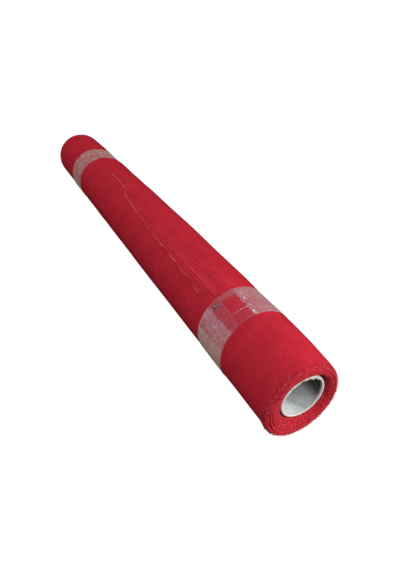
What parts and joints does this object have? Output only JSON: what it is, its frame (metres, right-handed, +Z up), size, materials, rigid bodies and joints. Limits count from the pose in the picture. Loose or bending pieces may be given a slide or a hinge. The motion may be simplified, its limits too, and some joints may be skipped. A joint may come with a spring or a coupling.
{
  "type": "roll of tulle",
  "caption": "Long roll of fine red net cloth wound on a plain paper tube, pinched and held closed by clear film bands near its ends, lying on its side.",
  "frame": {"origin": "on the surface the roll rests on, under the middle of the roll's box", "axes": "+X along the roll's axis towards its slack near end, +Y to its right side seen from that end's left, +Z up"},
  "size_m": [0.763, 0.0921, 0.0911],
  "materials": {
    "red_tulle": "soft fine net with a faint sheen",
    "core_paper": "plain unprinted grey-white board",
    "clear_film": "thin clear film, milky where it doubles, wrinkled"
  },
  "bodies": {
    "root": {"tulle_roll": "red_tulle", "paper_core": "core_paper", "band_near": "clear_film", "band_far": "clear_film"}
  },
  "joints": []
}
